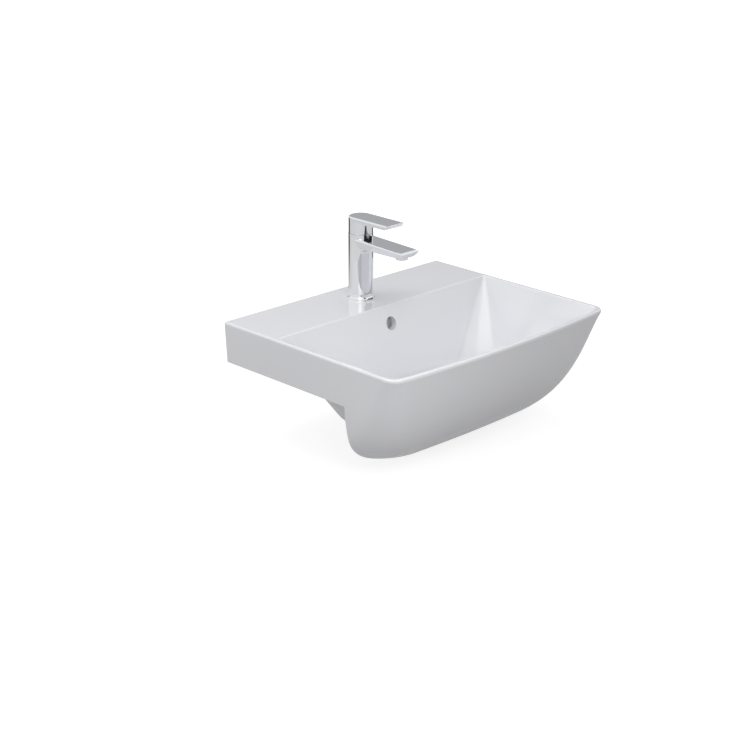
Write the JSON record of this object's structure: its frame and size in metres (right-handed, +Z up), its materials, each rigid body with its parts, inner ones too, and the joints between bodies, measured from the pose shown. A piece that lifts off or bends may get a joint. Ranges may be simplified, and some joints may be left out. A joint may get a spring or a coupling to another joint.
{
  "type": "semi-recessed basin",
  "caption": "White ceramic semi-recessed basin with a deep rectangular bowl, leaning front apron, overflow, chromed single-lever mixer tap and click waste",
  "frame": {"origin": "middle of the back edge of the skirt's underside: x = 0 is the plane of symmetry, y = 0 the back face that meets the wall, z = 0 the plane of the counter top that the skirt rests on", "axes": "+X to the user's right seen from the front, +Y towards the wall, +Z up; the front apron is at -Y"},
  "size_m": [0.56, 0.4524, 0.39],
  "materials": {
    "glaze": "gloss",
    "chrome": "polished",
    "brass": "machined",
    "steel": "satin",
    "seal_rubber": "matt",
    "cartridge_plastic": "matt",
    "disc_ceramic": "lapped",
    "index_plastic": "gloss"
  },
  "bodies": {
    "fixed": {"basin_body": "glaze", "tap_body": "chrome", "dome_cover": "chrome", "aerator_housing": "chrome", "waste_body": "chrome", "cartridge_nut": "brass", "fixing_nut": "brass", "waste_nut": "brass", "click_housing": "brass", "fixing_stud": "steel", "horseshoe_plate": "steel", "click_spring": "steel", "tap_base_seal": "seal_rubber", "horseshoe_seal": "seal_rubber", "cartridge_seals": "seal_rubber", "aerator_seal": "seal_rubber", "waste_flange_seal": "seal_rubber", "waste_lower_seal": "seal_rubber", "cartridge_housing": "cartridge_plastic", "cartridge_base": "cartridge_plastic", "aerator_insert": "cartridge_plastic", "fixed_disc": "disc_ceramic"},
    "swivel": {"lever_guide": "cartridge_plastic", "pivot_pin": "steel"},
    "lever": {"tap_lever": "chrome", "lever_stem": "brass", "grub_screw": "steel", "screw_cap": "index_plastic"},
    "discs": {"disc_carrier": "cartridge_plastic", "moving_disc": "disc_ceramic"},
    "plug": {"plug_cap": "chrome", "plug_seal": "seal_rubber", "click_plunger": "brass"}
  },
  "joints": [
    {"name": "lever_swivel", "type": "hinge", "parent": "fixed", "child": "swivel", "pos_m": [0, -0.07, 0.215], "axis": [0, 0, 1], "range_deg": [-50, 50]},
    {"name": "lever_lift", "type": "hinge", "parent": "swivel", "child": "lever", "pos_m": [0, -0.07, 0.215], "axis": [-1, 0, 0], "range_deg": [0, 20]},
    {"name": "disc_slide", "type": "slide", "parent": "swivel", "child": "discs", "axis": [0, -1, 0], "range_m": [0, 0.0055]},
    {"name": "plug_slide", "type": "slide", "parent": "fixed", "child": "plug", "axis": [0, 0, 1], "range_m": [0, 0.009], "deforming": ["click_spring"]}
  ],
  "couplings": [
    {"joint": "disc_slide", "follows": "lever_lift", "m_per_rad": 0.0157}
  ]
}
